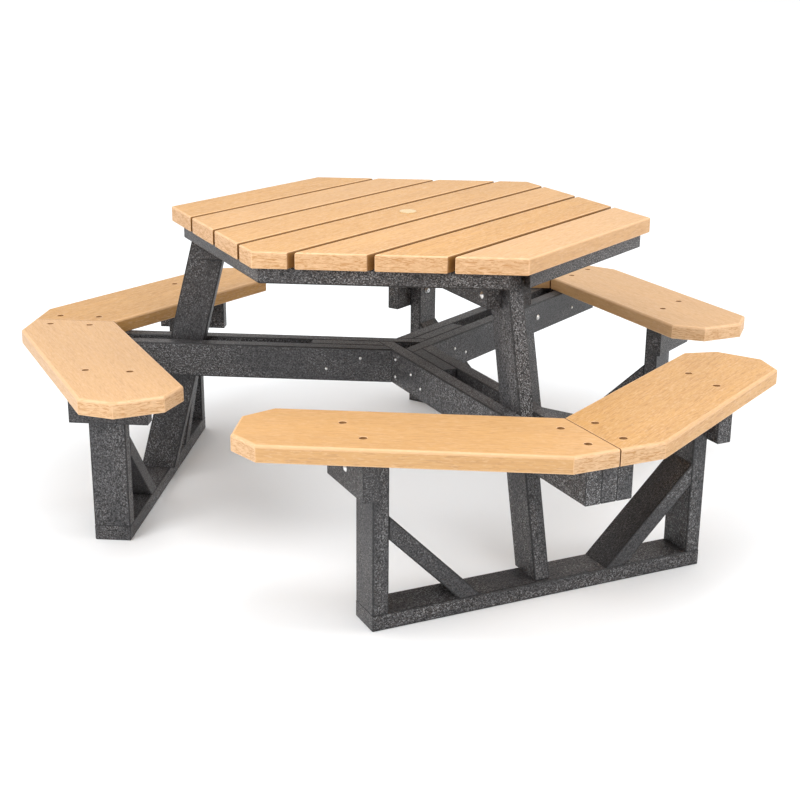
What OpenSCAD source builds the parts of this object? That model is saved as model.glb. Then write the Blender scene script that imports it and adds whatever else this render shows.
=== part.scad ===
// Hexagonal picnic table with three V-shaped benches, six seats in all.
// The frame is 38 x 89 recycled plastic lumber; the planks and seats are wider boards.
// Millimetres, +Z up. The origin is on the ground, at the middle of the whole footprint.

/* [Lumber] */
// Thickness of every board
board_t = 38; // [30:1:45]
// Width of the frame boards
frame_w = 89; // [70:1:100]
// Width of a seat board
seat_w = 241; // [200:1:280]

/* [Table top] */
// Height of the top surface above the ground
top_h = 750; // [700:1:800]
// Width of one plank of the top
plank_w = 140; // [120:1:150]
// Gap between two planks
plank_gap = 12.5; // [5:0.5:20]
// Diameter of the umbrella hole
pole_hole_d = 40; // [36:0.5:50]
// Depth of the cleats under the rim
cleat_w = 22; // [18:1:24]
// Setback of the cleats from the rim
cleat_setback = 19; // [15:1:22]

/* [Benches] */
// Height of the seat surface above the ground
seat_h = 440; // [420:1:460]
// Distance from the hub axis to a seat's inner edge
seat_in = 671; // [650:1:700]
// Reach of a seat beyond the foot of its normal from the hub
seat_reach = 295; // [270:1:320]
// Distance from the hub axis to the clipped tip of the mitre
tip_r = 990; // [975:1:1005]
// Gap between the two seats of a mitre
mitre_gap = 2.4; // [0:0.2:4]
// Size of the clipped corners at a seat's free end
seat_clip = 62; // [40:1:70]

/* [Frame] */
// Length of a sill on the ground
sill_len = 846; // [800:1:880]
// Distance from the hub axis to the middle of a sill
sill_r = 683; // [670:1:690]
// Length of the arms from the hub axis
arm_len = 957; // [930:1:965]
// Lean of a leg towards the hub, in degrees
leg_lean = 14.5; // [13:0.5:15]
// Distance from the hub axis to the foot of a leg, on its centre line
leg_r = 672; // [665:1:680]
// Length of a seat bracket
bracket_len = 190; // [160:1:210]
// Length of the spacer between two arms, measured from the hub axis
hub_spacer_len = 249; // [235:1:300]
// Length of the spacer under a seat mitre
end_spacer_len = 165; // [120:1:180]
// Length of the upper bearers from the hub axis
bearer_len = 527; // [520:1:528]
// Place of a brace's heel on the sill, from the sill's middle
brace_heel = 216; // [190:1:240]

/* [Fasteners] */
// Diameter of the bolts
bolt_d = 8; // [7:0.5:10]
// Diameter of the screws
screw_d = 6; // [5:0.5:7]
// Play of a fastener in its hole, on the diameter
play = 0.6; // [0.2:0.1:1]
// Diameter of the counterbored holes in the seats
counterbore_d = 17; // [15:0.5:20]
// Depth of the counterbored holes in the seats
counterbore_h = 10; // [8:0.5:14]

/* [Hidden] */
$fn = 48;
plank_count = 7;
half = board_t / 2;
side = half + board_t;
bearer_mid = side - half;
pitch = plank_w + plank_gap;
apothem = (plank_count * plank_w + (plank_count - 1) * plank_gap) / 2;
top_r = apothem / cos(30);
top_under = top_h - board_t;
seat_under = seat_h - board_t;
arm_z = seat_under - frame_w;
bearer_z = top_under - frame_w;
sill_in = sill_r - frame_w / 2;
sill_end = sill_len / 2;
post_in = sill_end - board_t;
bracket_out = sill_end + board_t;
seat_out = seat_in + seat_w;
leg_half = frame_w / 2 / cos(leg_lean);
arm_mid_z = arm_z + frame_w / 2;
leg_bolt_z = bearer_z + 28;
// The hub is off the middle of the footprint, because three benches aren't balanced about it
hub_x = -(tip_r - (seat_out * cos(30) + (seat_reach - seat_clip) * sin(30))) / 2;

// Screw and bolt places, along a unit's radius
end_screws = [[812, arm_z + 32], [905, arm_z + 69]];
long_arm_screws = concat([[146, arm_z + 53], [201, arm_z + 31]], end_screws);
short_arm_screws = concat([[115, arm_z + 63], [204, arm_z + 32]], end_screws);
leg_bolt_places = [[leg_centre(arm_mid_z) + 10, arm_mid_z], [leg_centre(leg_bolt_z) - 10, leg_bolt_z]];
bracket_bolt = [sill_r - 10, arm_mid_z + 4];
lag_z = [arm_z + 22, arm_z + 68];
lag_r = side / cos(30) - side * tan(30) / 3;
mitre_screws = [830, 935];
bracket_screws = [614, 720];
mitre_screw_y = 42;
bracket_screw_y = sill_end + half;
bearer_screws = [200, 360];
sill_screws_post = [sill_r - 22, sill_r + 22];
sill_screws_leg = [leg_r - 18, leg_r + 24];
brace_screw_y = brace_heel - 27;
centre_plank_screw_y = 40;

head_d = 12;
head_h = 4;
recess_d = 14;
recess_h = 8;
seat_screw_len = 75;
cleat_screw_len = 58;
bearer_recess_h = 44;
bearer_screw_len = 72;
sill_screw_len = 72;
brace_screw_len = 46;
arm_screw_len = 54;
pan_d = 8;
pan_h = 3.5;
lag_len = 66;
leg_lag_len = 105;
dome_d = 16;
dome_h = 4.5;
nut_d = 15;
nut_h = 6.5;
washer_h = 1.5;
washer_d = 18;
plug_d = 44;
plug_h = 3;
plug_depth = 30;
plug_wall = 3;
plug_tab = [11, 9, 2.5];
plug_tab_turn = 214;

units = [0, 120, 240];

// ---- Placing ------------------------------------------------------------------------------------

// A unit's own axes: +X runs out from the hub, +Y runs along the sill
module unit(k) translate([hub_x, 0, 0]) rotate([0, 0, units[k - 1]]) children();

// Every unit in turn
module each_unit() for (k = [1:3]) unit(k) children();

// Both sides of a unit
module each_side() {
    children();
    mirror([0, 1, 0]) children();
}

// An outline in the XZ plane, with its thickness along Y from y0 to y1
module upright(y0, y1) translate([0, y1, 0]) rotate([90, 0, 0]) linear_extrude(y1 - y0) children();

// ---- Fasteners ----------------------------------------------------------------------------------

// A flat-headed screw whose head sits on z = 0 and whose shank points up
module screw(len) {
    translate([0, 0, -head_h]) cylinder(d = head_d, h = head_h);
    cylinder(d = screw_d, h = len);
}

// The hole for such a screw, with a recess below the head
module screw_hole(len, recess, d = recess_d) {
    translate([0, 0, -recess]) cylinder(d = d, h = recess);
    translate([0, 0, -0.01]) cylinder(d = screw_d + play, h = len + 2);
}

// A domed head on z = 0, bulging towards +Z
module dome(d, h) {
    ball = (d * d / 4 + h * h) / (2 * h);
    intersection() {
        translate([0, 0, h - ball]) sphere(r = ball);
        cylinder(d = d, h = h);
    }
}

// A round-headed screw on z = 0, with its shank pointing down
module pan_screw(d, len, head, h = pan_h) {
    translate([0, 0, -len]) cylinder(d = d, h = len);
    dome(head, h);
}

// A through bolt along Y: domed head at y = grip, washer and nut at y = 0
module bolt(grip) rotate([-90, 0, 0]) {
    translate([0, 0, -washer_h]) cylinder(d = washer_d, h = washer_h);
    translate([0, 0, -washer_h - nut_h]) cylinder(d = nut_d, h = nut_h, $fn = 6);
    cylinder(d = bolt_d, h = grip);
    translate([0, 0, grip]) dome(dome_d, dome_h);
}

// The hole for a bolt, a lag or a screw along Y
module bolt_hole(y0, y1, d = bolt_d) {
    translate([0, y0 - 1, 0]) rotate([-90, 0, 0]) cylinder(d = d + play, h = y1 - y0 + 2);
}

// ---- Table top ----------------------------------------------------------------------------------

// Screw places under the rim, for the cleat whose normal is at angle a, as [x, y] from the hub
cleat_mid = apothem - cleat_setback - cleat_w / 2;
function on_cleat(a, s) = [cleat_mid * cos(a) - s * sin(a), cleat_mid * sin(a) + s * cos(a)];
function slant_rows() = [centre_plank_screw_y, pitch, 2 * pitch, 3 * pitch];
function slant_point(a, y) = on_cleat(a, (sign(sin(a)) * y - cleat_mid * sin(a)) / cos(a));
function rim_points(k) = let (a = 60 * k - 30) abs(cos(a)) < 0.01
    ? [for (s = [-200, 0, 200]) on_cleat(a, s)]
    : [for (y = slant_rows()) slant_point(a, y)];
function bearer_point(k, r, y) = let (a = units[k - 1]) [r * cos(a) - y * sin(a), r * sin(a) + y * cos(a)];
rim_screws = [for (k = [1:6]) each rim_points(k)];
bearer_screw_points = [
    for (k = [1:3], r = bearer_screws, y = [-bearer_mid, bearer_mid]) bearer_point(k, r, y)
];

// One plank, cut to the hexagon, with the pilot holes of the screws that hold it
module top_plank(i) {
    mid = (i - (plank_count + 1) / 2) * pitch;
    color("burlywood") translate([hub_x, 0, 0]) difference() {
        intersection() {
            translate([0, 0, top_under]) cylinder(r = top_r, h = board_t, $fn = 6);
            translate([-top_r, mid - plank_w / 2, top_under]) cube([2 * top_r, plank_w, board_t]);
        }
        for (p = concat(rim_screws, bearer_screw_points))
            if (abs(p.y - mid) < plank_w / 2)
                translate([p.x, p.y, top_under - 1]) cylinder(d = screw_d + play, h = 30);
        if (mid == 0)
            translate([0, 0, top_under - 1]) cylinder(d = pole_hole_d, h = board_t + 2);
    }
}

// One cleat under the rim: mitred to its neighbour at one end, stopping at a leg at the other
module top_cleat(k) {
    a = 60 * k - 30;
    outer = apothem - cleat_setback;
    inner = outer - cleat_w;
    leg_side = k % 2 == 1 ? -1 : 1;
    leg_gap = half + 5;
    color("dimgray") translate([hub_x, 0, 0]) difference() {
        rotate([0, 0, a]) translate([0, 0, top_under - board_t]) linear_extrude(board_t)
            polygon([
                [inner, -leg_side * inner * tan(30)],
                [outer, -leg_side * outer * tan(30)],
                [outer, leg_side * (outer * sin(30) - leg_gap) / cos(30)],
                [inner, leg_side * (inner * sin(30) - leg_gap) / cos(30)]
            ]);
        for (p = rim_points(k))
            translate([p.x, p.y, top_under - board_t + recess_h]) screw_hole(board_t, recess_h + 1);
    }
}

// ---- The pinwheel at the hub --------------------------------------------------------------------

// Where a board whose face is at y meets the inner face of the long board before it
function long_end(y) = (y * sin(30) - half) / cos(30);
// Where a board whose face is at y meets the outer face of the long board after it
function short_end(y) = (side - y * sin(30)) / cos(30);

module long_outline(len) polygon([
    [long_end(-half), -half], [len, -half], [len, -side], [long_end(-side), -side]
]);
module short_outline(len) polygon([
    [short_end(half), half], [len, half], [len, side], [short_end(side), side]
]);

// The two bearers under the top, one on each side of the leg
module bearers(k) color("dimgray") unit(k) difference() {
    translate([0, 0, bearer_z]) linear_extrude(frame_w) {
        long_outline(bearer_len);
        short_outline(bearer_len);
    }
    for (r = bearer_screws, y = [-bearer_mid, bearer_mid])
        translate([r, y, bearer_z + bearer_recess_h]) screw_hole(frame_w, bearer_recess_h + 1);
    leg_bolt_holes(-side, leg_lag_len - side);
}

// The holes for the two lags of a leg, from y0 to y1
module leg_bolt_holes(y0, y1) for (p = leg_bolt_places) translate([p.x, 0, p.y]) bolt_hole(y0, y1);

module mitre_screw_holes(y) for (r = mitre_screws)
    translate([r, y, seat_under - 50]) cylinder(d = screw_d + play, h = 51);

// The long arm: it ends on the next long arm, and its own face carries the third one
module arm_long(k) color("dimgray") unit(k) difference() {
    translate([0, 0, arm_z]) linear_extrude(frame_w) long_outline(arm_len);
    leg_bolt_holes(-side, -half);
    for (p = long_arm_screws) translate([p.x, 0, p.y]) bolt_hole(-side, -half, screw_d);
    mitre_screw_holes(-mitre_screw_y);
    for (z = lag_z) translate([lag_r, 0, z]) bolt_hole(-side, -half, screw_d);
    // Pilot holes in the end, for the lags that come through the next long arm
    rotate([0, 0, -120]) for (z = lag_z) translate([lag_r, 0, z]) bolt_hole(-half, lag_len - side, screw_d);
}

// The short arm: it ends on the outer face of the next long arm
module arm_short(k) color("dimgray") unit(k) difference() {
    translate([0, 0, arm_z]) linear_extrude(frame_w) short_outline(arm_len);
    leg_bolt_holes(half, leg_lag_len - side);
    for (p = short_arm_screws) translate([p.x, 0, p.y]) bolt_hole(half, side, screw_d);
    mitre_screw_holes(mitre_screw_y);
}

// The spacers between the two arms, at the hub and under the seat mitre
module arm_spacers(k) color("dimgray") unit(k) difference() {
    translate([0, 0, arm_z]) linear_extrude(frame_w) {
        polygon([
            [short_end(-half), -half], [hub_spacer_len, -half],
            [hub_spacer_len, half], [short_end(half), half]
        ]);
        translate([arm_len - end_spacer_len, -half]) square([end_spacer_len, board_t]);
    }
    for (p = long_arm_screws) translate([p.x, 0, p.y]) bolt_hole(-half, arm_screw_len - side, screw_d);
    for (p = short_arm_screws) translate([p.x, 0, p.y]) bolt_hole(side - arm_screw_len, half, screw_d);
}

// ---- Bench frames -------------------------------------------------------------------------------

// Centre line of a leg at height z
function leg_centre(z) = leg_r - (z - board_t) * tan(leg_lean);

// The leaning leg, from the sill to the planks
module leg(k) color("dimgray") unit(k) difference() {
    upright(-half, half) polygon([
        [leg_centre(board_t) - leg_half, board_t],
        [leg_centre(board_t) + leg_half, board_t],
        [leg_centre(top_under) + leg_half, top_under],
        [leg_centre(top_under) - leg_half, top_under]
    ]);
    leg_bolt_holes(-half, half);
    for (r = sill_screws_leg) translate([r, 0, recess_h]) screw_hole(sill_screw_len, 1);
}

// The sill on the ground, with the recessed screws that hold the posts, the leg and the braces
module sill(k) color("dimgray") unit(k) difference() {
    translate([sill_in, -sill_end, 0]) cube([frame_w, sill_len, board_t]);
    upright_screw_places() screw_hole(sill_screw_len, recess_h + 1);
    brace_screw_places() screw_hole(brace_screw_len, recess_h + 1);
}

module upright_screw_places() {
    each_side() for (r = sill_screws_post) translate([r, sill_end - half, recess_h]) children();
    for (r = sill_screws_leg) translate([r, 0, recess_h]) children();
}

module brace_screw_places() each_side() translate([sill_r, brace_screw_y, recess_h]) children();

// An end post on its side of the unit
module post_shape() difference() {
    translate([sill_in, post_in, board_t]) cube([frame_w, board_t, seat_under - board_t]);
    for (r = sill_screws_post)
        translate([r, sill_end - half, recess_h]) screw_hole(sill_screw_len, 1);
    translate([bracket_bolt.x, 0, bracket_bolt.y]) bolt_hole(post_in, sill_end);
}

module post_left(k) color("dimgray") unit(k) post_shape();
module post_right(k) color("dimgray") unit(k) mirror([0, 1, 0]) post_shape();

// The two 45 degree braces from the sill to the posts
module braces(k) color("dimgray") unit(k) each_side() difference() {
    rise = post_in - brace_heel;
    foot = board_t / sin(45);
    translate([sill_in, 0, 0]) rotate([90, 0, 90]) linear_extrude(frame_w) polygon([
        [brace_heel - foot, board_t],
        [brace_heel, board_t],
        [post_in, board_t + rise],
        [post_in, board_t + rise + foot]
    ]);
    translate([sill_r, brace_screw_y, recess_h]) screw_hole(brace_screw_len, 1);
}

// A seat bracket, on edge on the outer face of a post
module bracket_shape() difference() {
    translate([sill_r - 16 - bracket_len / 2, sill_end, arm_z]) cube([bracket_len, board_t, frame_w]);
    translate([bracket_bolt.x, 0, bracket_bolt.y]) bolt_hole(sill_end, bracket_out);
    for (r = bracket_screws)
        translate([r, bracket_screw_y, seat_under - 50]) cylinder(d = screw_d + play, h = 51);
}

module bracket_left(k) color("dimgray") unit(k) bracket_shape();
module bracket_right(k) color("dimgray") unit(k) mirror([0, 1, 0]) bracket_shape();

// A point n out from the hub and s along the board, for the left seat of a unit
function on_seat(n, s) = [n * cos(30) - s * sin(30), n * sin(30) + s * cos(30)];
mitre_s = -seat_in * tan(30);
tip_n = tip_r * cos(30);
tip_s = (seat_out * cos(30) - tip_r) / sin(30);

// A seat board: mitred and clipped at the tip, both corners clipped at the free end
module seat_shape() difference() {
    translate([0, 0, seat_under]) linear_extrude(board_t) polygon([
        on_seat(seat_in, mitre_s),
        on_seat(tip_n, -tip_n * tan(30)),
        on_seat(seat_out, tip_s),
        on_seat(seat_out, seat_reach - seat_clip),
        on_seat(seat_out - seat_clip, seat_reach),
        on_seat(seat_in + seat_clip, seat_reach),
        on_seat(seat_in, seat_reach - seat_clip)
    ]);
    translate([0, -tip_r, 0]) cube([2 * tip_r, tip_r + mitre_gap / 2, top_h]);
    seat_screw_places() {
        translate([0, 0, -0.01]) cylinder(d = counterbore_d, h = counterbore_h + 1);
        translate([0, 0, -board_t]) cylinder(d = screw_d + play, h = board_t);
    }
}

module seat_screw_places() {
    floor_z = seat_h - counterbore_h;
    for (r = mitre_screws) translate([r, mitre_screw_y, floor_z]) children();
    for (r = bracket_screws) translate([r, bracket_screw_y, floor_z]) children();
}

module seat_left(k) color("burlywood") unit(k) seat_shape();
module seat_right(k) color("burlywood") unit(k) mirror([0, 1, 0]) seat_shape();

// ---- Fastener groups ----------------------------------------------------------------------------

module seat_screws() color("silver") each_unit() each_side() seat_screw_places()
    mirror([0, 0, 1]) screw(seat_screw_len);

module bracket_bolts() color("silver") each_unit() each_side()
    translate([bracket_bolt.x, post_in, bracket_bolt.y]) bolt(2 * board_t);

module arm_screws() color("silver") each_unit() {
    for (p = long_arm_screws)
        translate([p.x, -side, p.y]) rotate([90, 0, 0]) pan_screw(screw_d, arm_screw_len, pan_d);
    for (p = short_arm_screws)
        translate([p.x, side, p.y]) rotate([-90, 0, 0]) pan_screw(screw_d, arm_screw_len, pan_d);
}

module leg_bolts() color("silver") each_unit() for (p = leg_bolt_places)
    translate([p.x, -side, p.y]) rotate([90, 0, 0]) pan_screw(bolt_d, leg_lag_len, dome_d, dome_h);

module hub_lags() color("silver") each_unit()
    for (z = lag_z) translate([lag_r, -side, z]) rotate([90, 0, 0]) pan_screw(screw_d, lag_len, pan_d);

module top_screws() color("silver") translate([hub_x, 0, 0]) {
    for (p = rim_screws) translate([p.x, p.y, top_under - board_t + recess_h]) screw(cleat_screw_len);
    for (p = bearer_screw_points) translate([p.x, p.y, bearer_z + bearer_recess_h]) screw(bearer_screw_len);
}

module sill_screws() color("silver") each_unit() {
    upright_screw_places() screw(sill_screw_len - 1);
    brace_screw_places() screw(brace_screw_len - 1);
}

// ---- Umbrella plug ------------------------------------------------------------------------------

// A push-in cap that closes the umbrella hole and lifts out by the tab on its rim
module umbrella_plug() color("ivory") translate([hub_x, 0, top_h]) difference() {
    union() {
        cylinder(d = plug_d, h = plug_h);
        translate([0, 0, -plug_depth]) cylinder(d = pole_hole_d - 1, h = plug_depth);
        rotate([0, 0, plug_tab_turn]) translate([plug_d / 2 - 3, -plug_tab.y / 2, 0]) cube(plug_tab);
    }
    translate([0, 0, -plug_depth - 1]) cylinder(d = pole_hole_d - 1 - 2 * plug_wall, h = plug_depth);
}

top_plank(1);  // top_plank_1
top_plank(2);  // top_plank_2
top_plank(3);  // top_plank_3
top_plank(4);  // top_plank_4
top_plank(5);  // top_plank_5
top_plank(6);  // top_plank_6
top_plank(7);  // top_plank_7
top_cleat(1);  // top_cleat_1
top_cleat(2);  // top_cleat_2
top_cleat(3);  // top_cleat_3
top_cleat(4);  // top_cleat_4
top_cleat(5);  // top_cleat_5
top_cleat(6);  // top_cleat_6
bearers(1);  // bearers_1
bearers(2);  // bearers_2
bearers(3);  // bearers_3
arm_long(1);  // arm_long_1
arm_long(2);  // arm_long_2
arm_long(3);  // arm_long_3
arm_short(1);  // arm_short_1
arm_short(2);  // arm_short_2
arm_short(3);  // arm_short_3
arm_spacers(1);  // arm_spacers_1
arm_spacers(2);  // arm_spacers_2
arm_spacers(3);  // arm_spacers_3
leg(1);  // leg_1
leg(2);  // leg_2
leg(3);  // leg_3
sill(1);  // sill_1
sill(2);  // sill_2
sill(3);  // sill_3
post_right(1);  // post_1_right
post_left(1);  // post_1_left
post_right(2);  // post_2_right
post_left(2);  // post_2_left
post_right(3);  // post_3_right
post_left(3);  // post_3_left
braces(1);  // braces_1
braces(2);  // braces_2
braces(3);  // braces_3
bracket_right(1);  // bracket_1_right
bracket_left(1);  // bracket_1_left
bracket_right(2);  // bracket_2_right
bracket_left(2);  // bracket_2_left
bracket_right(3);  // bracket_3_right
bracket_left(3);  // bracket_3_left
seat_right(1);  // seat_1_right
seat_left(1);  // seat_1_left
seat_right(2);  // seat_2_right
seat_left(2);  // seat_2_left
seat_right(3);  // seat_3_right
seat_left(3);  // seat_3_left
seat_screws();
bracket_bolts();
arm_screws();
leg_bolts();
hub_lags();
top_screws();
sill_screws();
umbrella_plug();
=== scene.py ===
"""A hexagonal picnic table of plastic lumber, with three V-shaped benches.

The boards are rebuilt from the frame's solids with eased edges and counterbored holes, and the
fasteners from their places in the frame. Every piece is in metres, in the frame's own axes.
"""

import math

import bmesh
import bpy
from mathutils import Matrix, Vector


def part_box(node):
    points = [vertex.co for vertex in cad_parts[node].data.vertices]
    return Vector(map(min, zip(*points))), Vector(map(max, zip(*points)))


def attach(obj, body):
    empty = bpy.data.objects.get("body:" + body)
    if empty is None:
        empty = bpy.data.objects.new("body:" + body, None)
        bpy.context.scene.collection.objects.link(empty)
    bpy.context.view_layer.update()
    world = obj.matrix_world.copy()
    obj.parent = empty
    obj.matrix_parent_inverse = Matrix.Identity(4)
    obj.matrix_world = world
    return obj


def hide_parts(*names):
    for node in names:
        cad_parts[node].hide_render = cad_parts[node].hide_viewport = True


bl_info = {
    "name": "Hexagonal Picnic Table",
    "version": (1, 0, 0),
    "blender": (4, 5, 0),
    "location": "View3D > Sidebar > Picnic Table",
    "description": "Builds a plastic lumber picnic table with three V-shaped benches",
    "category": "Add Mesh",
}

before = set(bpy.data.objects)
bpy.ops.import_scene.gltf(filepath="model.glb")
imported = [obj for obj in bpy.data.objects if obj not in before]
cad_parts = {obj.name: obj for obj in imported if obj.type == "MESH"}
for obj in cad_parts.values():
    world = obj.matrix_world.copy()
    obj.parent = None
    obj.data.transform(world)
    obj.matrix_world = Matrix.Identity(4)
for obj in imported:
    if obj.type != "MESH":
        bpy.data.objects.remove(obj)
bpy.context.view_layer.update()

FRAME_BODY = "frame"
PLUG_BODY = "plug"
UNIT_ANGLES = {1: 0.0, 2: 120.0, 3: 240.0}
UP = Vector((0, 0, 1))
ACROSS = Vector((0, 1, 0))  # across the planks of the top, from the first to the last
SIDES = ("right", "left")

WELD = 1e-5  # points nearer than this are one point
SAME_HEIGHT = 1e-4  # ends nearer than this in height are level
PARALLEL = 0.99  # cosine above which two directions count as one
FLAT_TURN = math.radians(1)  # facets that turn by less make one flat side
FORWARD = Vector((1, 0.5, 0.25))  # a board's length points to this side
GRAIN_SHIFT = Vector((1.37, 0.71, 0.43))  # how far the grain moves on from board to board
ROUND_SEGMENTS = 4
FLAT_SIDE_WEIGHT = 80
SAWN_FROM = 0.2  # cosine to the board's length from which a face counts as sawn
HIDDEN_FROM = 0.55  # cosine to a joint's direction from which a face counts as hidden and is painted in shade
OVERSHOOT = 0.002  # how far a boring tool stands out of its hole
BORE_MOUTH = 0.0015  # how deep a bore is still clean
BORE_PLAY = 0.0004  # a bore's facets lie no further out than this
EDGE_MARGIN = 0.002  # a screw sits at least this far inside its board

PAN_HEIGHT = 0.004  # height of an upright screw's head
NUT_SIDE = 0.008  # a nut and its washer, along the bolt
BOLT = {"shank": 0.004, "head": (0.008, 0.0045)}
SIDE_SCREW = {"shank": 0.003, "head": (0.004, 0.0035)}
NUT = (0.0075, 0.0065)

PLUG_SLACK = 0.0005  # between the plug's sleeve and the umbrella hole, on the radius
PLUG_WALL = 0.003
TAB_HALF_WIDTH = 0.0045

KNEE_HEIGHT = 0.4  # the lights face this height above the hub
FLOOR_RADIUS = 40.0
SKY_FADE = (0.15, 0.80)  # heights between which the sky brightens, as sines of the angle
SENSOR_WIDTH = 36.0

PLANKS = [f"top_plank_{i}" for i in range(1, 8)]
CLEATS = [f"top_cleat_{i}" for i in range(1, 7)]
UPPER_FRAME = [f"bearers_{k}" for k in UNIT_ANGLES]
ARMS = [f"{part}_{k}" for part in ("arm_long", "arm_short", "arm_spacers") for k in UNIT_ANGLES]
LEGS = [f"leg_{k}" for k in UNIT_ANGLES]
SILLS = [f"sill_{k}" for k in UNIT_ANGLES]
POSTS = [f"post_{k}_{side}" for k in UNIT_ANGLES for side in SIDES]
BRACES = [f"braces_{k}" for k in UNIT_ANGLES]
BRACKETS = [f"bracket_{k}_{side}" for k in UNIT_ANGLES for side in SIDES]
SEATS = [f"seat_{k}_{side}" for k in UNIT_ANGLES for side in SIDES]


# ---- Places read from the frame ----------------------------------------------------------------


def hub():
    """The point on the ground under the middle of the centre plank, where the hub axis stands."""
    low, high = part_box("top_plank_4")
    return Vector(((low.x + high.x) / 2, (low.y + high.y) / 2, 0))


def radial(unit):
    """The direction from the hub out along a unit's arms."""
    return Vector((*polar(1, math.radians(UNIT_ANGLES[unit])), 0))


def unit_of(node):
    """The number of the unit that a node belongs to."""
    return int(node.split("_")[-1 if node[-1].isdigit() else -2])


def loose_parts(node):
    """The separate solids of a frame node, each as a list of its points."""
    mesh = bmesh.new()
    mesh.from_mesh(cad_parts[node].data)
    bmesh.ops.remove_doubles(mesh, verts=mesh.verts, dist=WELD)
    mesh.verts.ensure_lookup_table()
    left = set(mesh.verts)
    parts = []
    while left:
        stack = [left.pop()]
        part = []
        while stack:
            vert = stack.pop()
            part.append(vert.co.copy())
            for edge in vert.link_edges:
                other = edge.other_vert(vert)
                if other in left:
                    left.remove(other)
                    stack.append(other)
        parts.append(part)
    mesh.free()
    return sorted(parts, key=lambda points: tuple(round(v, 4) for v in middle(points)))


def points_of(node):
    """All the points of a frame node."""
    return [point for part in loose_parts(node) for point in part]


def corners(points):
    """The lowest and highest corner of some points."""
    low = Vector([min(p[i] for p in points) for i in range(3)])
    high = Vector([max(p[i] for p in points) for i in range(3)])
    return low, high


def middle(points):
    """The middle of the box around some points."""
    low, high = corners(points)
    return (low + high) / 2


# ---- Building meshes ---------------------------------------------------------------------------


def hull_of(points):
    """The convex solid around some points, with one face for each flat side."""
    solid = bmesh.new()
    for point in points:
        solid.verts.new(point)
    made = bmesh.ops.convex_hull(solid, input=solid.verts, use_existing_faces=False)
    inside = [item for item in made["geom_interior"] if isinstance(item, bmesh.types.BMVert)]
    bmesh.ops.delete(solid, geom=inside, context="VERTS")
    bmesh.ops.dissolve_limit(
        solid, angle_limit=FLAT_TURN, verts=solid.verts, edges=solid.edges, delimit=set()
    )
    bmesh.ops.recalc_face_normals(solid, faces=solid.faces)
    return solid


def board_axes(solid):
    """The directions of a board: along its length, across its width and through its thickness."""
    longest = max(solid.edges, key=lambda edge: edge.calc_length())
    along = (longest.verts[1].co - longest.verts[0].co).normalized()
    if along.dot(FORWARD) < 0:
        along.negate()
    widest = max(solid.faces, key=lambda face: face.calc_area())
    through = widest.normal.copy()
    if through.z < -0.5 or (abs(through.z) <= 0.5 and through.xy.dot(FORWARD.xy) < 0):
        through.negate()
    across = through.cross(along).normalized()
    return along, across, through


def object_from(name, solid):
    """Turns a bmesh into a smoothly shaded object in the scene, and frees it."""
    mesh = bpy.data.meshes.new(name)
    solid.to_mesh(mesh)
    solid.free()
    thing = bpy.data.objects.new(name, mesh)
    bpy.context.scene.collection.objects.link(thing)
    mesh.shade_smooth()
    return thing


def settle(thing):
    """Makes an object's modifiers part of its mesh."""
    bpy.context.view_layer.update()
    graph = bpy.context.evaluated_depsgraph_get()
    mesh = bpy.data.meshes.new_from_object(thing.evaluated_get(graph))
    old = thing.data
    thing.modifiers.clear()
    thing.data = mesh
    mesh.name = thing.name
    if old.users == 0:
        bpy.data.meshes.remove(old)


def aimed(point, way):
    """The matrix that puts +Z along a direction at a point."""
    return Matrix.Translation(point) @ way.to_track_quat("Z", "Y").to_matrix().to_4x4()


def merged(shapes):
    """Several shapes in one mesh."""
    everything = bmesh.new()
    for shape in shapes:
        scratch = bpy.data.meshes.new("scratch")
        shape.to_mesh(scratch)
        shape.free()
        everything.from_mesh(scratch)
        bpy.data.meshes.remove(scratch)
    return everything


def skin(solid, rings):
    """Walls between rings of corners, with a flat face on the first ring and on the last."""
    for lower, upper in zip(rings, rings[1:]):
        for step, corner in enumerate(lower):
            after = (step + 1) % len(lower)
            solid.faces.new((corner, lower[after], upper[after], upper[step]))
    solid.faces.new(list(reversed(rings[0])))
    solid.faces.new(rings[-1])


def around(steps):
    """Evenly spaced angles over a full turn."""
    return [2 * math.pi * step / steps for step in range(steps)]


def polar(radius, turn):
    """The place at a radius and an angle."""
    return radius * math.cos(turn), radius * math.sin(turn)


def lathe(profile, turns):
    """A solid of revolution about Z: its (radius, height) pairs start and end on the axis."""
    solid = bmesh.new()
    rings = []
    for radius, height in profile:
        if radius == 0:
            rings.append([solid.verts.new((0, 0, height))])
        else:
            rings.append([solid.verts.new((*polar(radius, turn), height)) for turn in around(turns)])
    for lower, upper in zip(rings, rings[1:]):
        for step in range(turns):
            after = (step + 1) % turns
            if len(lower) == 1:
                solid.faces.new((lower[0], upper[after], upper[step]))
            elif len(upper) == 1:
                solid.faces.new((lower[step], lower[after], upper[0]))
            else:
                solid.faces.new((lower[step], lower[after], upper[after], upper[step]))
    bmesh.ops.recalc_face_normals(solid, faces=solid.faces)
    return solid


def cutter(name, places, radius, depth, rim):
    """A tool that bores holes into a board: each place is a mouth point and the way out of it."""
    wide = radius + rim
    ease = rim * 0.35
    profile = [(0, -depth), (radius, -depth), (radius, -rim), (radius + ease, -ease)]
    profile += [(wide, 0), (wide, OVERSHOOT), (0, OVERSHOOT)]
    bores = []
    for mouth, outward in places:
        bore = lathe(profile, turns=40)
        bore.transform(aimed(mouth, outward))
        bores.append(bore)
    return object_from(name, merged(bores))


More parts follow.
